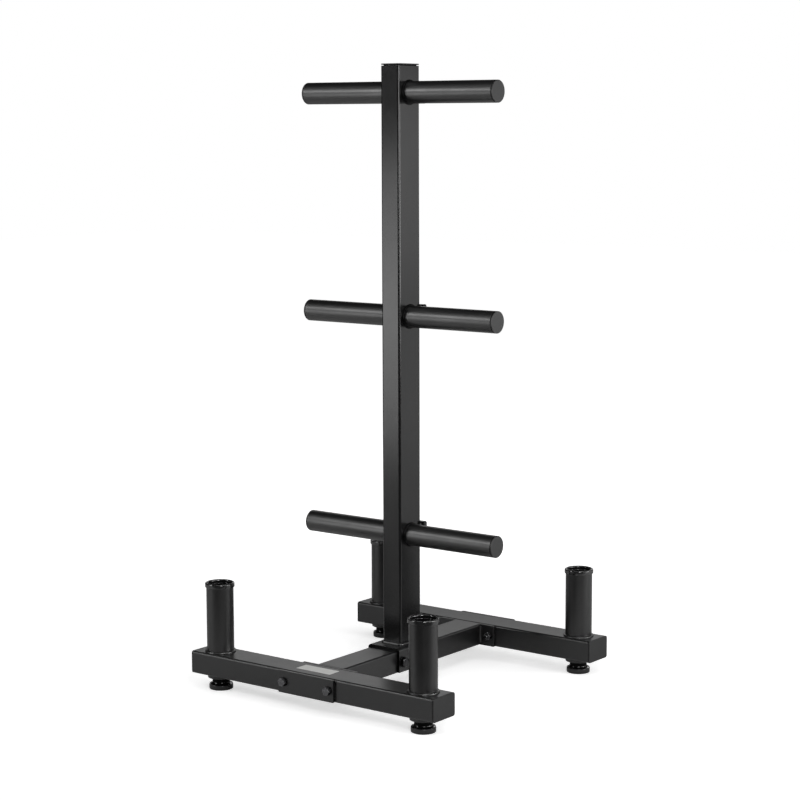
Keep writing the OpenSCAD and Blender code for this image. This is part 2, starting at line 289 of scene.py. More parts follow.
looks = {
    "uprightPaint": {"colour": (0.0035, 0.0035, 0.0037), "roughness": 0.2, "spread": 0.01},
    "basePaint": {"colour": (0.005, 0.005, 0.0052), "roughness": 0.31, "spread": 0.015, "ior": 1.62},
    "pegPaint": {"colour": (0.002, 0.002, 0.0021), "roughness": 0.37, "spread": 0.02, "ior": 1.87},
    "sleevePaint": {"colour": (0.003, 0.003, 0.0031), "roughness": 0.33, "spread": 0.02, "ior": 1.66},
    # A darker, duller copy of the frame paint: painted shade, laid on the saddle's edge faces, the pegs' ends
    # and the welds round the peg roots
    "cutPaint": {"colour": (0.002, 0.002, 0.0021), "roughness": 0.3, "spread": 0.02, "ior": 1.2},
    "weldPaint": {
        "colour": (0.006, 0.006, 0.0062), "roughness": 0.34, "spread": 0.06, "ior": 1.75,
        "peelScale": 380.0, "peelHeight": 0.06, "peelStrength": 0.4,
    },
    "capPlastic": {
        "colour": (0.006, 0.006, 0.0062), "roughness": 0.45, "spread": 0.03,
        "grainScale": 1400.0, "grainStrength": 0.15, "grainHeight": 0.03,
    },
    "pegCapPlastic": {
        "colour": (0.006, 0.006, 0.0062), "roughness": 0.42, "spread": 0.03, "ior": 1.63,
        "grainScale": 1400.0, "grainStrength": 0.15, "grainHeight": 0.03,
    },
    "collarPlastic": {
        "colour": (0.005, 0.005, 0.0052), "roughness": 0.14, "spread": 0.03, "ior": 1.85,
        "grainScale": 1600.0, "grainStrength": 0.03, "grainHeight": 0.01,
    },
    "padPlastic": {
        "colour": (0.006, 0.006, 0.0062), "roughness": 0.3, "spread": 0.04, "peelScale": 220.0,
        "peelStrength": 0.1, "ior": 1.55,
    },
    "padGloss": {
        "colour": (0.002, 0.002, 0.0021), "roughness": 0.1, "spread": 0.03, "peelScale": 220.0,
        "peelHeight": 0.01, "peelStrength": 0.1, "ior": 1.45,
    },
    # The foot's neck: near black with little reflection, as painted shade under the boss
    "neckBlack": {
        "colour": (0.002, 0.002, 0.0021), "roughness": 0.3, "spread": 0.03, "peelScale": 220.0,
        "peelHeight": 0.01, "peelStrength": 0.1, "ior": 1.12,
    },
    "studZinc": {
        "colour": (0.2, 0.2, 0.21), "roughness": 0.32, "spread": 0.08, "metallic": 1.0, "peelScale": 900.0,
    },
    "blackZinc": {
        "colour": (0.14, 0.14, 0.145), "roughness": 0.28, "spread": 0.08, "metallic": 1.0,
        "peelScale": 800.0, "cloudScale": 120.0,
    },
    # A darker copy of the black zinc: painted shade on the saddle's bolts
    "darkZinc": {
        "colour": (0.06, 0.06, 0.062), "roughness": 0.22, "spread": 0.06, "metallic": 1.0,
        "peelScale": 800.0, "cloudScale": 120.0,
    },
    # Washers near black: painted shade, the dark crescent beside each bolt head
    "blackWasher": {
        "colour": (0.025, 0.025, 0.026), "roughness": 0.28, "spread": 0.08, "metallic": 1.0,
        "peelScale": 800.0, "cloudScale": 120.0,
    },
    "bareLabel": {
        "colour": (0.66, 0.66, 0.64), "roughness": 0.35, "spread": 0.05,
        "cloud": 0.06, "cloudScale": 60.0, "peelScale": 500.0, "peelHeight": 0.01,
    },
}
materials = {name: finishMaterial(name, look) for name, look in looks.items()}
print("materials:", len(materials))


# Geometry Nodes

def newTree(name, inputs):
    tree = bpy.data.node_groups.new(name, "GeometryNodeTree")
    face = tree.interface
    face.new_socket(name="Geometry", in_out="INPUT", socket_type="NodeSocketGeometry")
    for label, kind, value in inputs:
        socket = face.new_socket(name=label, in_out="INPUT", socket_type=kind)
        if value is not None:
            socket.default_value = value
    face.new_socket(name="Geometry", in_out="OUTPUT", socket_type="NodeSocketGeometry")
    start = tree.nodes.new("NodeGroupInput")
    out = tree.nodes.new("NodeGroupOutput")
    return tree, start, out


def endTree(tree, start, out, shape):
    # Every tree ends in real geometry with the material that its input names
    real = tree.nodes.new("GeometryNodeRealizeInstances")
    tree.links.new(shape, real.inputs["Geometry"])
    paint = tree.nodes.new("GeometryNodeSetMaterial")
    link(tree, real, "Geometry", paint, "Geometry")
    link(tree, start, "Material", paint, "Material")
    link(tree, paint, "Geometry", out, "Geometry")


def applyTree(piece, tree, values):
    modifier = piece.modifiers.new(tree.name, "NODES")
    modifier.node_group = tree
    for item in tree.interface.items_tree:
        if item.item_type == "SOCKET" and item.in_out == "INPUT" and item.name in values:
            modifier[item.identifier] = values[item.name]
    return settle(piece)


def mathNode(tree, operation, a, b=None):
    node = tree.nodes.new("ShaderNodeMath")
    node.operation = operation
    for slot, value in enumerate((a, b)):
        if isinstance(value, (int, float)):
            node.inputs[slot].default_value = value
        elif value is not None:
            tree.links.new(value, node.inputs[slot])
    return node.outputs[0]


beadShape = {"stepsPerRipple": 6.0, "driftScale": 90.0, "driftDetail": 2.0, "swell": 0.35, "sides": 14}


def beadTree(shape):
    # A run of weld: a tube along the path, with the ripples and the small wander of a hand-made bead
    tree, start, out = newTree("weldBead", (
        ("Bead Radius", "NodeSocketFloat", 0.003),
        ("Ripple Length", "NodeSocketFloat", 0.0024),
        ("Ripple Depth", "NodeSocketFloat", 0.1),
        ("Wander", "NodeSocketFloat", 0.0005),
        ("Seed", "NodeSocketFloat", 1.0),
        ("Material", "NodeSocketMaterial", None),
    ))
    nodes = tree.nodes
    curve = nodes.new("GeometryNodeMeshToCurve")
    link(tree, start, "Geometry", curve, "Mesh")
    dense = nodes.new("GeometryNodeResampleCurve")
    dense.mode = "LENGTH"
    link(tree, curve, "Curve", dense, "Curve")
    step = mathNode(tree, "DIVIDE", start.outputs["Ripple Length"], shape["stepsPerRipple"])
    tree.links.new(step, dense.inputs["Length"])

    along = nodes.new("GeometryNodeSplineParameter")
    phase = mathNode(tree, "DIVIDE", along.outputs["Length"], start.outputs["Ripple Length"])
    sine = mathNode(tree, "SINE", mathNode(tree, "MULTIPLY", phase, math.pi))
    wave = mathNode(tree, "ABSOLUTE", sine)
    place = nodes.new("GeometryNodeInputPosition")
    drift = nodes.new("ShaderNodeTexNoise")
    drift.noise_dimensions = "4D"
    drift.inputs["Scale"].default_value = shape["driftScale"]
    drift.inputs["Detail"].default_value = shape["driftDetail"]
    link(tree, place, "Position", drift, "Vector")
    link(tree, start, "Seed", drift, "W")
    hollow = mathNode(tree, "SUBTRACT", 1.0, wave)
    dip = mathNode(tree, "MULTIPLY", hollow, start.outputs["Ripple Depth"])
    uneven = mathNode(tree, "SUBTRACT", drift.outputs["Fac"], 0.5)
    swell = mathNode(tree, "MULTIPLY", uneven, shape["swell"])
    radius = mathNode(tree, "ADD", mathNode(tree, "SUBTRACT", 1.0, dip), swell)
    width = nodes.new("GeometryNodeSetCurveRadius")
    link(tree, dense, "Curve", width, "Curve")
    tree.links.new(radius, width.inputs["Radius"])

    offset = nodes.new("ShaderNodeVectorMath")
    offset.operation = "SUBTRACT"
    link(tree, drift, "Color", offset, 0)
    offset.inputs[1].default_value = (0.5, 0.5, 0.5)
    amount = nodes.new("ShaderNodeVectorMath")
    amount.operation = "SCALE"
    link(tree, offset, "Vector", amount, 0)
    link(tree, start, "Wander", amount, "Scale")
    move = nodes.new("GeometryNodeSetPosition")
    link(tree, width, "Curve", move, "Geometry")
    link(tree, amount, "Vector", move, "Offset")

    profile = nodes.new("GeometryNodeCurvePrimitiveCircle")
    profile.inputs["Resolution"].default_value = shape["sides"]
    link(tree, start, "Bead Radius", profile, "Radius")
    sweep = nodes.new("GeometryNodeCurveToMesh")
    link(tree, move, "Geometry", sweep, "Curve")
    link(tree, profile, "Curve", sweep, "Profile Curve")
    sweep.inputs["Fill Caps"].default_value = True
    smooth = nodes.new("GeometryNodeSetShadeSmooth")
    link(tree, sweep, "Mesh", smooth, "Geometry")
    endTree(tree, start, out, smooth.outputs["Geometry"])
    return tree


def seatTree():
    # Sets one fastener on every point, along that point's own direction, each turned a little differently
    tree, start, out = newTree("fastenerSeats", (
        ("Fastener", "NodeSocketObject", None),
        ("First Turn", "NodeSocketFloat", 0.3),
        ("Turn Step", "NodeSocketFloat", 0.4),
        ("Turn Play", "NodeSocketFloat", 0.2),
        ("Seed", "NodeSocketInt", 3),
        ("Material", "NodeSocketMaterial", None),
    ))
    nodes = tree.nodes
    info = nodes.new("GeometryNodeObjectInfo")
    info.transform_space = "ORIGINAL"
    info.inputs["As Instance"].default_value = True
    link(tree, start, "Fastener", info, "Object")
    facing = nodes.new("GeometryNodeInputNamedAttribute")
    facing.data_type = "FLOAT_VECTOR"
    facing.inputs["Name"].default_value = "facing"
    align = nodes.new("FunctionNodeAlignRotationToVector")
    align.axis = "Z"
    link(tree, facing, "Attribute", align, "Vector")
    index = nodes.new("GeometryNodeInputIndex")
    chance = nodes.new("FunctionNodeRandomValue")
    chance.data_type = "FLOAT"
    low = mathNode(tree, "MULTIPLY", start.outputs["Turn Play"], -1.0)
    # A float random value keeps its own pair of limits
    floats = [s for s in chance.inputs if s.type == "VALUE" and s.name in ("Min", "Max")]
    tree.links.new(low, floats[0])
    tree.links.new(start.outputs["Turn Play"], floats[1])
    link(tree, start, "Seed", chance, "Seed")
    stepped = mathNode(tree, "MULTIPLY", index.outputs["Index"], start.outputs["Turn Step"])
    base = mathNode(tree, "ADD", stepped, start.outputs["First Turn"])
    values = [s for s in chance.outputs if s.type == "VALUE"]
    spin = mathNode(tree, "ADD", base, values[0])
    turn = nodes.new("FunctionNodeAxisAngleToRotation")
    turn.inputs["Axis"].default_value = (0, 0, 1)
    tree.links.new(spin, turn.inputs["Angle"])
    rotate = nodes.new("FunctionNodeRotateRotation")
    rotate.rotation_space = "LOCAL"
    link(tree, align, "Rotation", rotate, "Rotation")
    link(tree, turn, "Rotation", rotate, "Rotate By")
    put = nodes.new("GeometryNodeInstanceOnPoints")
    link(tree, start, "Geometry", put, "Points")
    link(tree, info, "Geometry", put, "Instance")
    link(tree, rotate, "Rotation", put, "Rotation")
    endTree(tree, start, out, put.outputs["Instances"])
    return tree


threadShape = {"stepsPerTurn": 40, "ridgeSides": 4}


def threadTree(shape):
    # A screw thread: one ridge swept along a helix that rises from the object's own first point
    tree, start, out = newTree("screwThread", (
        ("Root Radius", "NodeSocketFloat", 0.0051),
        ("Ridge", "NodeSocketFloat", 0.001),
        ("Pitch", "NodeSocketFloat", 0.00175),
        ("Turns", "NodeSocketFloat", 20.0),
        ("Material", "NodeSocketMaterial", None),
    ))
    nodes = tree.nodes
    helix = nodes.new("GeometryNodeCurveSpiral")
    helix.inputs["Resolution"].default_value = shape["stepsPerTurn"]
    # Reversed, the spiral rises as a right-handed thread does
    helix.inputs["Reverse"].default_value = True
    link(tree, start, "Turns", helix, "Rotations")
    link(tree, start, "Root Radius", helix, "Start Radius")
    link(tree, start, "Root Radius", helix, "End Radius")
    height = mathNode(tree, "MULTIPLY", start.outputs["Turns"], start.outputs["Pitch"])
    tree.links.new(height, helix.inputs["Height"])
    up = nodes.new("GeometryNodeSetCurveNormal")
    up.mode = "Z_UP"
    link(tree, helix, "Curve", up, "Curve")
    ridge = nodes.new("GeometryNodeCurvePrimitiveCircle")
    ridge.inputs["Resolution"].default_value = shape["ridgeSides"]
    link(tree, start, "Ridge", ridge, "Radius")
    sweep = nodes.new("GeometryNodeCurveToMesh")
    link(tree, up, "Curve", sweep, "Curve")
    link(tree, ridge, "Curve", sweep, "Profile Curve")
    sweep.inputs["Fill Caps"].default_value = True
    place = nodes.new("GeometryNodeInstanceOnPoints")
    link(tree, start, "Geometry", place, "Points")
    link(tree, sweep, "Mesh", place, "Instance")
    endTree(tree, start, out, place.outputs["Instances"])
    return tree


weldBead = beadTree(beadShape)
fastenerSeats = seatTree()
screwThread = threadTree(threadShape)


def weldRun(name, paths, radius, seed, ripple=3.2, wander=0.6, material="weldPaint"):
    # paths: (points, closed), in millimetres
    points = []
    edges = []
    for path, closed in paths:
        first = len(points)
        points += [tuple(Vector(p) * mm) for p in path]
        count = len(path)
        edges += [(first + i, first + i + 1) for i in range(count - 1)]
        if closed:
            edges.append((first + count - 1, first))
    mesh = bpy.data.meshes.new(name)
    mesh.from_pydata(points, edges, [])
    return applyTree(addObject(name, mesh), weldBead, {
        "Bead Radius": radius * mm, "Ripple Length": ripple * mm, "Wander": wander * mm,
        "Seed": float(seed), "Material": materials[material],
    })


def seats(name, fastener, points, material, firstTurn=0.3, turnStep=0.4, turnPlay=0.2, seed=3):
    # points: (place, facing), in millimetres
    mesh = bpy.data.meshes.new(name)
    mesh.from_pydata([tuple(Vector(p) * mm) for p, _ in points], [], [])
    facing = mesh.attributes.new("facing", "FLOAT_VECTOR", "POINT")
    for i, (_, direction) in enumerate(points):
        facing.data[i].vector = direction
    return applyTree(addObject(name, mesh), fastenerSeats, {
        "Fastener": fastener, "First Turn": firstTurn, "Turn Step": turnStep, "Turn Play": turnPlay,
        "Seed": seed, "Material": materials[material],
    })


def threadRun(name, start, root, ridge, pitch, turns, material):
    # start: where the helix's axis begins, in millimetres
    mesh = bpy.data.meshes.new(name)
    mesh.from_pydata([tuple(c * mm for c in start)], [], [])
    return applyTree(addObject(name, mesh), screwThread, {
        "Root Radius": root * mm, "Ridge": ridge * mm, "Pitch": pitch * mm, "Turns": turns,
        "Material": material,
    })


# Upright

uprightSize = {"width": 50, "depth": 75, "corner": 5, "low": 90, "high": 1360, "edge": 0.4}


def makeUpright(size):
    outline = roundedRect(size["width"], size["depth"], size["corner"])
    piece = extruded("upright", outline, size["low"], size["high"], Matrix(), materials["uprightPaint"])
    soften(piece, size["edge"])
    standFor(piece, "frame", "upright_paint", "upright")


makeUpright(uprightSize)

topCapSize = {
    "width": 50, "depth": 75, "corner": 5, "foot": 1360, "neck": 1.8, "neckCorner": 2.5, "rim": 2.7,
    "inset": 4.3, "plug": 8, "lap": 0.5, "edge": 0.7,
}


def makeTopCap(size):
    foot = size["foot"]
    low = foot + size["neck"]
    inset = size["inset"]
    plastic = materials["capPlastic"]
    neckLine = roundedRect(size["width"] - 2 * inset, size["depth"] - 2 * inset, size["neckCorner"])
    neck = extruded("neck", neckLine, foot - size["plug"], low + size["lap"], Matrix(), plastic)
    soften(neck, 0)
    rimLine = roundedRect(size["width"], size["depth"], size["corner"])
    rim = extruded("rim", rimLine, low, low + size["rim"], Matrix(), plastic)
    soften(rim, size["edge"], steps=4)
    standFor(joined("uprightCap", [rim, neck]), "frame", "black_plastic", "upright_cap")


makeTopCap(topCapSize)
print("upright done")


# Pegs

pegSize = {
    "radius": 24, "bore": 21, "length": 229.5, "root": 25, "edge": 0.8, "sides": 128, "paintedShadeFrom": 0.3,
    "cap": 3, "groove": 0.5, "capPlug": 15, "capPlay": 0.05, "capNeck": 1.2, "capLip": 0.5, "capRound": 1.1,
    "weldRadius": 2.6, "weldOut": 0.6,
}


def makePegs(size):
    r = size["radius"]
    bore = size["bore"]
    length = size["length"]
    # The cap's plug in the tube, the groove over its neck, and its rounded rim
    plug = bore - size["capPlay"]
    neck = r - size["capNeck"]
    low = length + size["groove"]
    lip = size["capLip"]
    edge = size["capRound"]
    capProfile = [
        (plug, length - size["capPlug"]), (plug, length), (neck, length), (neck, low), (r - lip, low),
        (r, low + lip),
    ]
    capProfile += arc(r - edge, low + size["cap"] - edge, edge, 0, 90, 6)
    out = size["weldOut"]
    beads = []
    for level, z in levels.items():
        for side, s in sides.items():
            spot = level + "_" + side
            place = basis((s * size["root"], 0, z), (s, 0, 0), (0, 1, 0))
            tube = turned(
                "peg_" + spot, pipe(bore, r, 0, length), place, materials["pegPaint"], closed=True,
                count=size["sides"],
            )
            soften(tube, size["edge"])
            # The tube's end faces and their rounding take the dark copy of the paint, as painted shade in the
            # groove at the cap
            paintFaces(tube, materials["cutPaint"], lambda normal: abs(normal.x) > size["paintedShadeFrom"])
            standFor(tube, "frame", "peg_paint", "peg_" + spot)
            cap = turned("pegCap_" + spot, capProfile, place, materials["pegCapPlastic"], count=size["sides"])
            soften(cap, 0)
            standFor(cap, "frame", "black_plastic", "peg_cap_" + spot)
            circle = [place @ Vector((u, v, out)) for u, v in ring(r + out, 64)]
            beads.append((circle, True))
    # The welds round the peg roots are in the dark copy too, a painted shadow ring round each root
    welds = weldRun("pegWelds", beads, size["weldRadius"], seed=5, material="cutPaint")
    standFor(welds, "frame", "peg_paint")


makePegs(pegSize)

backPlateSize = {
    "width": 70, "height": 48, "corner": 4, "thickness": 10, "face": 37.5, "edge": 0.8,
    "weldX": 24.2, "weldInset": 1.6, "weldLength": 42, "weldRadius": 2.8,
}


def makeBackPlates(size):
    outline = roundedRect(size["width"], size["height"], size["corner"], steps=6)
    length = size["weldLength"]
    beads = []
    for level, z in levels.items():
        place = basis((0, size["face"], z), (0, 1, 0), (1, 0, 0))
        name = "backPlate_" + level
        piece = extruded(name, outline, 0, size["thickness"], place, materials["uprightPaint"])
        soften(piece, size["edge"])
        standFor(piece, "frame", "upright_paint", "back_plate_" + level)
        for s in (-1, 1):
            line = uprightLine(s * size["weldX"], size["face"] - size["weldInset"], z - length / 2, length)
            beads.append((line, False))
    welds = weldRun("backPlateWelds", beads, size["weldRadius"], seed=11)
    standFor(welds, "frame", "upright_paint")


makeBackPlates(backPlateSize)
print("pegs done")


# Saddle

saddleSize = {
    "inner": 75, "thickness": 6, "outerBend": 8, "innerBend": 2, "web": 84, "bottom": 36, "length": 134,
    "edge": 0.35, "edgeAngle": 40, "paintedShadeFrom": 0.9,
    "weldWidth": 52.2, "weldDepth": 77.2, "weldCorner": 6.1, "weldLift": 1.0, "weldRadius": 3.9,
    "weldRipple": 2.8,
}


def makeSaddle(size):
    half = size["inner"] / 2 + size["thickness"]
    top = size["web"] + size["thickness"]
    outer = size["outerBend"]
    right = [(half, size["bottom"])]
    right += arc(half - outer, top - outer, outer, 0, 90, 10)
    left = [(-x, z) for x, z in reversed(right)]
    under = [(-half + size["thickness"], size["bottom"])]
    under += arc(-half + outer, top - outer, size["innerBend"], 180, 90, 10)
    back = [(-x, z) for x, z in reversed(under)]
    outline = right + left + under + back
    place = basis((0, 0, 0), (0, -1, 0), (1, 0, 0))
    reach = size["length"] / 2
    piece = extruded("saddle", outline, -reach, reach, place, materials["basePaint"])
    soften(piece, size["edge"], angle=size["edgeAngle"])
    # The plate's front and back edge faces take the dark copy of the paint, as painted shade
    paintFaces(piece, materials["cutPaint"], lambda normal: abs(normal.y) > size["paintedShadeFrom"])
    standFor(piece, "frame", "base_paint", "saddle")
    # The weld round the upright's foot
    line = roundedRect(size["weldWidth"], size["weldDepth"], size["weldCorner"])
    foot = [(x, y, top + size["weldLift"]) for x, y in line]
    welds = weldRun("footWeld", [(foot, True)], size["weldRadius"], seed=2, ripple=size["weldRipple"])
    standFor(welds, "frame", "base_paint")


makeSaddle(saddleSize)
print("saddle done")


# Beams of the base

beamSize = {
    "width": 75, "height": 50, "corner": 5, "middle": 59, "reach": 329, "line": 294, "crossReach": 250.5,
    "edge": 0.4, "capRim": 3.0, "capGroove": 0.5, "capEdge": 1.0, "capNeck": 1.5, "capPlug": 6, "capLap": 0.3,
}


def makeBeams(size):
    outline = roundedRect(size["width"], size["height"], size["corner"])
    reach = size["crossReach"]
    place = basis((0, 0, size["middle"]), (0, -1, 0), (1, 0, 0))
    cross = extruded("crossBeam", outline, -reach, reach, place, materials["basePaint"])
    soften(cross, size["edge"])
    standFor(cross, "frame", "base_paint", "cross_beam")
    reach = size["reach"]
    for end, s in ends.items():
        place = basis((0, s * size["line"], size["middle"]), (1, 0, 0), (0, 1, 0))
        beam = extruded(end + "FootBeam", outline, -reach, reach, place, materials["basePaint"])
        soften(beam, size["edge"])
        standFor(beam, "frame", "base_paint", end + "_foot_beam")
    inset = size["capNeck"]
    groove = size["capGroove"]
    plastic = materials["capPlastic"]
    neckLine = roundedRect(size["width"] - 2 * inset, size["height"] - 2 * inset, size["corner"] - inset)
    for name, (x, y) in corners.items():
        s = 1 if x > 0 else -1
        place = basis((s * reach, y, size["middle"]), (s, 0, 0), (0, 1, 0))
        neck = extruded("neck", neckLine, -size["capPlug"], groove + size["capLap"], place, plastic)
        soften(neck, 0)
        rim = extruded("rim", outline, groove, size["capRim"], place, plastic)
        soften(rim, size["capEdge"], steps=4)
        standFor(joined("beamCap_" + name, [rim, neck]), "frame", "black_plastic", "beam_cap_" + name)


makeBeams(beamSize)

plateSize = {
    "length": 151, "height": 49, "corner": 2, "thickness": 6, "middle": 59, "joint": 250.5, "clamp": 331.5,
    "edge": 0.6, "weldX": 38.2, "weldInset": 1.0, "weldLow": 41, "weldLength": 38, "weldRadius": 3.0,
}


def makePlates(size):
    outline = roundedRect(size["length"], size["height"], size["corner"], steps=6)
    beads = []
    for end, s in ends.items():
        for kind in ("joint", "clamp"):
            place = basis((0, s * size[kind], size["middle"]), (0, s, 0), (1, 0, 0))
            name = end + kind.capitalize() + "Plate"
            piece = extruded(name, outline, 0, size["thickness"], place, materials["basePaint"])
            soften(piece, size["edge"])
            standFor(piece, "frame", "base_paint", end + "_" + kind + "_plate")
        for side in (-1, 1):
            y = s * (size["joint"] - size["weldInset"])
            line = uprightLine(side * size["weldX"], y, size["weldLow"], size["weldLength"])
            beads.append((line, False))
    welds = weldRun("jointWelds", beads, size["weldRadius"], seed=8)
    standFor(welds, "frame", "base_paint")


makePlates(plateSize)
print("base done")


# Bolts, washers and nuts

hexShape = {"sides": 96, "rim": 0.95, "slope": 28}


def hexBlock(name, flats, height, bore, material):
    # A six-sided block with its top corners turned off, standing on its bearing face
    count = hexShape["sides"]
    rim = flats / 2 * hexShape["rim"]
    slope = math.tan(math.radians(hexShape["slope"]))
    angles = [2 * math.pi * i / count for i in range(count)]
    reach = []
    for a in angles:
        part = (a + math.pi / 6) % (math.pi / 3) - math.pi / 6
        reach.append(flats / 2 / math.cos(part))
    points = [(h * math.cos(a), h * math.sin(a), 0.0) for a, h in zip(angles, reach)]
    for a, h in zip(angles, reach):
        points.append((h * math.cos(a), h * math.sin(a), height - max(0.0, h - rim) * slope))
    points += [(u, v, height) for u, v in ring(rim, count)]
    if bore:
        points += [(u, v, height) for u, v in ring(bore / 2, count)]
        points += [(u, v, 0.0) for u, v in ring(bore / 2, count)]
    faces = stackFaces(len(points) // count, count, closed=bore > 0)
    return newPiece(name, points, faces, material, smooth=False)


# seats: where the washer under the head lies, which way the head faces, and the grip
boltSets = {
    "clamp": {
        "finish": "blackZinc", "diameter": 10, "flats": 17, "head": 6.4, "nut": 9.0, "collar": 2.5,
        "washer": 2.0, "washerRadius": 10, "tail": 3.0,
        "seats": [((sx * 61, sy * 337.5, 59), (0, sy, 0), 87) for sy in (-1, 1) for sx in (-1, 1)],
    },
    "saddle": {
        # The saddle's bolts use the darker copy of the zinc, as painted shade
        "finish": "darkZinc", "diameter": 12, "flats": 19, "head": 7.68, "nut": 10.8, "collar": 3.0,
        "washer": 2.5, "washerRadius": 12, "tail": 3.0,
        "seats": [((43.5, s * 55, 59), (1, 0, 0), 87) for s in (-1, 1)],
    },
}

fastenerShape = {
    "play": 0.1, "headEdge": 0.22, "nutEdge": 0.2, "hexAngle": 25, "washerEdge": 0.35,
    "collarInset": 1, "collarLap": 0.4, "collarEdge": 0.7,
    "tailPlug": 2, "tailRoot": 0.75, "tailTip": 1.6, "tailChamfer": 0.9, "tailEdge": 0.15,
    "threadPlug": 1, "threadRoot": 0.8, "threadRidge": 0.7, "threadPitch": 1.5, "threadTurns": 2.2,
    "headTurns": {"firstTurn": 0.31, "turnStep": 0.42, "turnPlay": 0.2, "seed": 4},
    "nutTurns": {"firstTurn": 0.1, "turnStep": 0.5, "turnPlay": 0.3, "seed": 9},
}


def makeFasteners(kind, size, shape):
    finish = size["finish"]
    zinc = materials[finish]
    up = Matrix()
    r = size["diameter"] / 2
    bore = r + shape["play"]
    head = hexBlock("head", size["flats"], size["head"], 0, zinc)
    soften(head, shape["headEdge"], steps=2, angle=shape["hexAngle"])
    block = hexBlock("block", size["flats"], size["nut"] - size["collar"], size["diameter"], zinc)
    soften(block, shape["nutEdge"], steps=2, angle=shape["hexAngle"])
    wide = size["flats"] / 2 - shape["collarInset"]
    low = size["nut"] - size["collar"] - shape["collarLap"]
    collar = turned("collar", pipe(bore, wide, low, size["nut"]), up, zinc, closed=True, count=64)
    soften(collar, shape["collarEdge"])
    nut = joined("nut", [block, collar])
    flat = pipe(bore, size["washerRadius"], 0, size["washer"])
    washer = turned("washer", flat, up, zinc, closed=True, count=72)
    soften(washer, shape["washerEdge"])
    low = -shape["tailPlug"]
    high = size["tail"]
    root = r - shape["tailRoot"]
    profile = [
        (axisRadius, low), (root, low), (root, high - shape["tailChamfer"]), (r - shape["tailTip"], high),
        (axisRadius, high),
    ]
    tail = turned("tail", profile, up, zinc, count=48)
    soften(tail, shape["tailEdge"], steps=2)
    # The turns of thread on the stub that stands out of each nut
    thread = threadRun(
        "stubThread", (0, 0, -shape["threadPlug"]), r - shape["threadRoot"], shape["threadRidge"],
        shape["threadPitch"], shape["threadTurns"], zinc,
    )

    heads = []
    nuts = []
    washers = []
    tails = []
    for place, facing, grip in size["seats"]:
        near = Vector(place)
        f = Vector(facing)
        far = near - f * grip
        heads.append((near + f * size["washer"], f))
        washers += [(near, f), (far, -f)]
        nuts.append((far - f * size["washer"], -f))
        tails.append((far - f * (size["washer"] + size["nut"]), -f))
    boltHeads = seats(kind + "BoltHeads", head, heads, finish, **shape["headTurns"])
    standFor(boltHeads, "frame", "fastener_steel", kind + "_bolts")
    standFor(seats(kind + "BoltTails", tail, tails, finish), "frame", "fastener_steel")
    # The washers take the near-black finish as painted shade beside the heads
    washerSet = seats(kind + "Washers", washer, washers, "blackWasher")
    standFor(washerSet, "frame", "fastener_steel", kind + "_washers")
    nutSet = seats(kind + "Nuts", nut, nuts, finish, **shape["nutTurns"])
    standFor(nutSet, "frame", "fastener_steel", kind + "_nuts")
    standFor(seats(kind + "BoltThreads", thread, tails, finish), "frame", "fastener_steel")
    for spare in (head, nut, washer, tail, thread):
        bpy.data.objects.remove(spare)


for kind, size in boltSets.items():
    makeFasteners(kind, size, fastenerShape)
print("fasteners done")


# Bar sleeves and their collars

sleeveSize = {
    "radius": 30, "bore": 27.5, "foot": 84, "top": 235, "hole": 26, "lip": 32.45, "skirt": 229, "lipTop": 239,
    "liner": 199, "outerRound": 2.8, "innerRound": 2.9, "step": 0.7, "stepLow": 231.2, "skirtEdge": 0.5,
    "play": 0.05, "edge": 0.4, "sides": 128, "weldRadius": 3.5, "weldOut": 0.8,
}


def makeSleeves(size):
    r = size["radius"]
    bore = size["bore"]
    foot = size["foot"]
    top = size["top"]
    hole = size["hole"]
    lip = size["lip"]
    skirt = size["skirt"]
    play = size["play"]
    outer = size["outerRound"]
    inner = size["innerRound"]
    step = size["step"]
    profile = [
        (hole, size["liner"]), (bore - play, size["liner"]), (bore - play, top), (r + play, top),
        (r + play, skirt), (lip - size["skirtEdge"], skirt), (lip, skirt + size["skirtEdge"]),
    ]
    profile += arc(lip - outer, size["lipTop"] - outer, outer, 0, 90, 8)
    # The mouth steps in a little below the lip
    profile += arc(hole + step + inner, size["lipTop"] - inner, inner, 90, 180, 8)
    profile += arc(hole + step, size["stepLow"] - step, step, 90, 180, 4)
    out = size["weldOut"]
    beads = []
    for name, (x, y) in corners.items():
        place = basis((x, y, 0), (0, 0, 1), (1, 0, 0))
        tube = turned(
            "barSleeve_" + name, pipe(bore, r, foot, top), place, materials["sleevePaint"], closed=True,
            count=size["sides"],
        )
        soften(tube, size["edge"])
        standFor(tube, "frame", "sleeve_paint", "bar_sleeve_" + name)
        collar = turned(
            "sleeveCollar_" + name, profile, place, materials["collarPlastic"], closed=True,
            count=size["sides"],
        )
        soften(collar, 0)
        standFor(collar, "frame", "collar_plastic", "sleeve_collar_" + name)
        circle = [(x + u, y + v, foot + out) for u, v in ring(r + out, 72)]
        beads.append((circle, True))
    welds = weldRun("sleeveWelds", beads, size["weldRadius"], seed=21)
    standFor(welds, "frame", "base_paint")


makeSleeves(sleeveSize)
print("sleeves done")


# Levelling feet

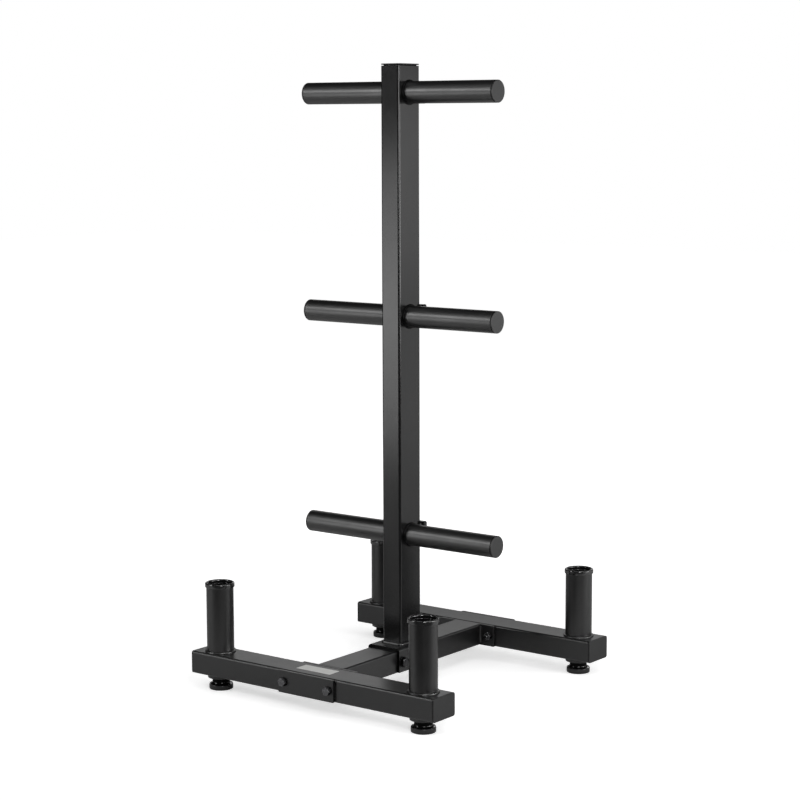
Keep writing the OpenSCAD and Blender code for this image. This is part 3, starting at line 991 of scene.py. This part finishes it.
footSize = {
    "hole": 6.0, "bossRadius": 29, "bossLow": 26, "bossHigh": 34, "spigotRadius": 11.0, "spigotHigh": 46,
    "bossEdge": 0.6, "padRadius": 26.3, "rim": 11.5, "rimChamfer": 1, "rimRise": 0.2, "rimEdge": 0.5,
    "bell": 5.6, "bellInset": 0.9, "bellSunk": 0.6, "bellLip": 0.3, "bellRise": 0.4, "neckRadius": 19.5,
    "topRadius": 18.6, "neckTop": 25.7, "pocket": 6, "neckEdge": 0.15, "sideTo": 0.3,
    "headRadius": 9.9, "headLow": 5.5, "headHigh": 10.4, "coreRadius": 5.1, "tipRadius": 4.2, "tip": 1,
    "coreEdge": 0.1, "threadLow": 11, "threadHigh": 62.4, "threadEnds": 2, "threadRoot": 5.05,
    "threadRidge": 0.85, "pitch": 1.75, "weldRadius": 2.2, "weldOut": 0.4, "weldDrop": 0.6,
}


def makeFeet(size):
    hole = size["hole"]
    high = size["bossHigh"]
    spigot = size["spigotRadius"]
    bossProfile = [
        (hole, size["bossLow"]), (size["bossRadius"], size["bossLow"]), (size["bossRadius"], high),
        (spigot, high), (spigot, size["spigotHigh"]), (hole, size["spigotHigh"]),
    ]
    r = size["padRadius"]
    rim = size["rim"]
    neck = size["neckRadius"]
    cut = size["rimChamfer"]
    rise = rim + size["rimRise"]
    rimProfile = [(r - cut, 0), (r, cut), (r, rim - cut), (r - cut, rim), (neck + cut, rise), (hole, rise)]
    # The bell above the rim narrows to the neck
    bell = size["bell"]
    bellFoot = r - size["bellInset"]
    neckTop = size["neckTop"]
    bellProfile = [(bellFoot, rim - size["bellSunk"]), (bellFoot, rim + size["bellLip"])]
    bellProfile += arc(neck + bell, rim + size["bellRise"] + bell, bell, 270, 180, 12)
    bellProfile += [(size["topRadius"], neckTop), (hole, neckTop), (hole, neckTop - size["pocket"])]
    top = size["threadHigh"]
    coreProfile = [
        (axisRadius, size["headLow"]), (size["headRadius"], size["headLow"]),
        (size["headRadius"], size["headHigh"]), (size["coreRadius"], size["headHigh"]),
        (size["coreRadius"], top - size["tip"]), (size["tipRadius"], top), (axisRadius, top),
    ]
    low = size["threadLow"]
    turns = (top - low - size["threadEnds"]) / size["pitch"]
    zinc = materials["studZinc"]
    beads = []
    for name, (x, y) in corners.items():
        place = basis((x, y, 0), (0, 0, 1), (1, 0, 0))
        boss = turned("footBoss_" + name, bossProfile, place, materials["basePaint"], closed=True)
        soften(boss, size["bossEdge"])
        standFor(boss, "frame", "base_paint", "foot_boss_" + name)
        pad = turned("footPad_" + name, rimProfile, place, materials["padPlastic"])
        soften(pad, size["rimEdge"])
        standFor(pad, "pad_" + name, "pad_plastic", "foot_pad_" + name)
        bellTop = turned("footNeck_" + name, bellProfile, place, materials["padGloss"])
        soften(bellTop, size["neckEdge"], steps=2)
        # The upright side faces of the neck take the painted shade material
        paintFaces(bellTop, materials["neckBlack"], lambda normal: abs(normal.z) < size["sideTo"])
        standFor(bellTop, "pad_" + name, "pad_plastic")
        core = turned("core", coreProfile, place, zinc, count=48)
        soften(core, size["coreEdge"], steps=2)
        ridge = threadRun(
            "ridge", (x, y, low), size["threadRoot"], size["threadRidge"], size["pitch"], turns, zinc
        )
        stud = joined("footStud_" + name, [core, ridge])
        standFor(stud, "stud_" + name, "stud_steel", "foot_stud_" + name)
        line = ring(size["bossRadius"] + size["weldOut"], 72)
        circle = [(x + u, y + v, high - size["weldDrop"]) for u, v in line]
        beads.append((circle, True))
    welds = weldRun("bossWelds", beads, size["weldRadius"], seed=31)
    standFor(welds, "frame", "base_paint")


makeFeet(footSize)
print("feet done")


# Bare label

labelSize = {
    "length": 92, "width": 33, "corner": 1.5, "low": 84.0, "high": 84.5, "sunk": 0.2, "edge": 0.1,
    "x": -4, "y": -291,
}


def makeLabel(size):
    place = basis((size["x"], size["y"], 0), (0, 0, 1), (1, 0, 0))
    outline = roundedRect(size["length"], size["width"], size["corner"], steps=6)
    low = size["low"] - size["sunk"]
    piece = extruded("label", outline, low, size["high"], place, materials["bareLabel"])
    soften(piece, size["edge"], steps=2)
    standFor(piece, "frame", "label_film", "label")


makeLabel(labelSize)
print("label done")


# Floor, light and camera

studio = {
    "floorReach": 14, "floorColour": 0.85, "floorLift": 0.707, "fadeStart": 0.75, "fadeEnd": 1.5,
    "darkFloor": 0.1, "darkLift": 0.96, "darkSide": (0.61, -0.79, 0), "darkStart": 0.5, "darkEnd": 0.85,
    "nearReach": 0.2, "nearDepth": 0.28, "nearSamples": 8, "glossShare": 0.02,
    "horizon": 0.04, "horizonTo": 0.1, "zenith": 0.01, "zenithFrom": 0.6, "aim": (0, 0, 0.6),
    # Each lamp's place, size and power
    "lamps": {
        "leftFar": ((-3.54, -2.48, 4.97), (1.4, 0.8), 3.8),
        "leftTop": ((-1.83, -2.3, 2.5), (0.9, 0.5), 6.5),
        "leftHigh": ((-1.83, -2.41, 2.0), (0.9, 0.35), 11.5),
        "leftMiddle": ((-1.83, -2.41, 0.95), (0.9, 0.35), 2.8),
        "leftLow": ((-1.83, -2.41, 0.6), (0.9, 0.35), 4),
        "leftFloor": ((-1.83, -2.41, 0.25), (0.9, 0.35), 3),
        "front": ((0, -1.5, 3.2), (1.6, 1.2), 8),
        "cornerHigh": ((2.2, -2.0, 1.9), (0.8, 0.8), 21),
        "corner": ((2.2, -2.0, 1.15), (0.8, 0.8), 16),
        "right": ((3.18, 0, 0.93), (1.6, 1.0), 16),
        "rightNear": ((3.0, 1.1, 0.93), (1.2, 1.0), 30),
        "rightHigh": ((1.5, 0, 3.2), (1.6, 1.2), 14),
        "rightBack": ((2.4, 2.0, 1.27), (1.6, 1.2), 4),
        "rightLow": ((1.97, 2.52, 0.71), (1.6, 1.4), 5.4),
        "leftBack": ((-1.9, 2.7, 1.42), (2.4, 0.9), 7.5),
        "back": ((-0.6, 3.3, 1.3), (1.4, 0.9), 6),
    },
}


def backdropRays(tree, glossShare):
    # The camera, and rays through glass, see all of the white. Reflections see a share of it, because
    # the whole of it turns the satin black grey.
    path = tree.nodes.new("ShaderNodeLightPath")
    gloss = mathNode(tree, "MULTIPLY", path.outputs["Is Glossy Ray"], glossShare)
    straight = mathNode(tree, "MAXIMUM", path.outputs["Is Camera Ray"], path.outputs["Is Transmission Ray"])
    return mathNode(tree, "MAXIMUM", straight, gloss)


def makeFloor(size):
    # White to the camera, with the shadow left in near the object
    mesh = bpy.data.meshes.new("floor")
    r = size["floorReach"]
    mesh.from_pydata([(-r, -r, 0), (r, -r, 0), (r, r, 0), (-r, r, 0)], [], [(0, 1, 2, 3)])
    floor = addObject("floor", mesh)
    material = bpy.data.materials.new("floor")
    tree, out = blankTree(material, "ShaderNodeOutputMaterial")
    paint = tree.nodes.new("ShaderNodeBsdfDiffuse")
    glow = tree.nodes.new("ShaderNodeEmission")
    glow.inputs["Color"].default_value = (1, 1, 1, 1)
    coordinates = tree.nodes.new("ShaderNodeTexCoord")
    away = tree.nodes.new("ShaderNodeVectorMath")
    away.operation = "LENGTH"
    link(tree, coordinates, "Object", away, 0)
    fade = rangeNode(tree, away, "Value", 0.0, 1.0, size["fadeStart"], size["fadeEnd"])
    fade.interpolation_type = "SMOOTHSTEP"
    # On the camera's side the floor is darker and gives less light to the object: painted shade that its
    # faces reflect. Its lift rises there, so the camera still sees white.
    toCamera = tree.nodes.new("ShaderNodeVectorMath")
    toCamera.operation = "DOT_PRODUCT"
    link(tree, coordinates, "Object", toCamera, 0)
    toCamera.inputs[1].default_value = size["darkSide"]
    for low, high, target in (
        (size["floorColour"], size["darkFloor"], paint.inputs["Color"]),
        (size["floorLift"], size["darkLift"], fade.inputs["To Min"]),
    ):
        side = rangeNode(tree, toCamera, "Value", low, high, size["darkStart"], size["darkEnd"])
        side.interpolation_type = "SMOOTHSTEP"
        tree.links.new(side.outputs["Result"], target)
    # Close under the object the lift is scaled down by ambient occlusion, a painted shadow that deepens the
    # real one there
    near = tree.nodes.new("ShaderNodeAmbientOcclusion")
    near.inputs["Distance"].default_value = size["nearReach"]
    near.samples = size["nearSamples"]
    deeper = rangeNode(tree, near, "AO", 1 - size["nearDepth"], 1.0, 0.0, 1.0)
    lift = mathNode(tree, "MULTIPLY", backdropRays(tree, size["glossShare"]), fade.outputs["Result"])
    shaded = mathNode(tree, "MULTIPLY", lift, deeper.outputs["Result"])
    tree.links.new(shaded, glow.inputs["Strength"])
    both = tree.nodes.new("ShaderNodeAddShader")
    link(tree, paint, "BSDF", both, 0)
    link(tree, glow, "Emission", both, 1)
    link(tree, both, "Shader", out, "Surface")
    mesh.materials.append(material)


def makeWorld(size):
    # The camera sees white, and the object a dim room that is a little lighter near the horizon
    world = bpy.data.worlds.new("studio")
    bpy.context.scene.world = world
    tree, out = blankTree(world, "ShaderNodeOutputWorld")
    room = tree.nodes.new("ShaderNodeBackground")
    white = tree.nodes.new("ShaderNodeBackground")
    white.inputs["Color"].default_value = (1, 1, 1, 1)
    white.inputs["Strength"].default_value = 1.0
    direction = tree.nodes.new("ShaderNodeTexCoord")
    split = tree.nodes.new("ShaderNodeSeparateXYZ")
    link(tree, direction, "Generated", split, "Vector")
    fade = rangeNode(
        tree, split, "Z", size["horizon"], size["zenith"], size["horizonTo"], size["zenithFrom"]
    )
    fade.interpolation_type = "SMOOTHSTEP"
    room.inputs["Color"].default_value = (1, 1, 1, 1)
    link(tree, fade, "Result", room, "Strength")
    choose = tree.nodes.new("ShaderNodeMixShader")
    tree.links.new(backdropRays(tree, size["glossShare"]), choose.inputs["Fac"])
    link(tree, room, "Background", choose, 1)
    link(tree, white, "Background", choose, 2)
    link(tree, choose, "Shader", out, "Surface")


def makeLamps(size):
    for name, (place, (wide, high), power) in size["lamps"].items():
        data = bpy.data.lights.new(name, "AREA")
        data.shape = "RECTANGLE"
        data.size = wide
        data.size_y = high
        data.energy = power
        light = addObject(name, data)
        light.location = place
        aim = Vector(size["aim"]) - Vector(place)
        light.rotation_euler = aim.to_track_quat("-Z", "Y").to_euler()
        light.visible_camera = False


makeFloor(studio)
makeWorld(studio)
makeLamps(studio)

view = {
    "place": (2.7791, -3.6401, 1.2455), "yaw": 37.394, "pitch": 7.624, "roll": -0.202,
    "focalPixels": 2097.15, "imageSide": 800, "sensor": 36.0, "clipStart": 0.05, "clipEnd": 60,
}


def makeCamera(size):
    yaw, pitch, roll = (math.radians(size[k]) for k in ("yaw", "pitch", "roll"))
    forward = Vector((-math.sin(yaw) * math.cos(pitch), math.cos(yaw) * math.cos(pitch), -math.sin(pitch)))
    right = Vector((math.cos(yaw), math.sin(yaw), 0))
    up = right.cross(forward)
    right, up = (
        right * math.cos(roll) + up * math.sin(roll),
        up * math.cos(roll) - right * math.sin(roll),
    )
    data = bpy.data.cameras.new("camera")
    data.sensor_width = size["sensor"]
    data.lens = size["sensor"] * size["focalPixels"] / size["imageSide"]
    data.clip_start = size["clipStart"]
    data.clip_end = size["clipEnd"]
    camera = addObject("camera", data)
    turn = Matrix((right, up, -forward)).transposed().to_4x4()
    camera.matrix_world = Matrix.Translation(size["place"]) @ turn
    bpy.context.scene.camera = camera


makeCamera(view)
bpy.context.scene.view_settings.view_transform = "Standard"
print("studio done")

bpy.context.view_layer.update()
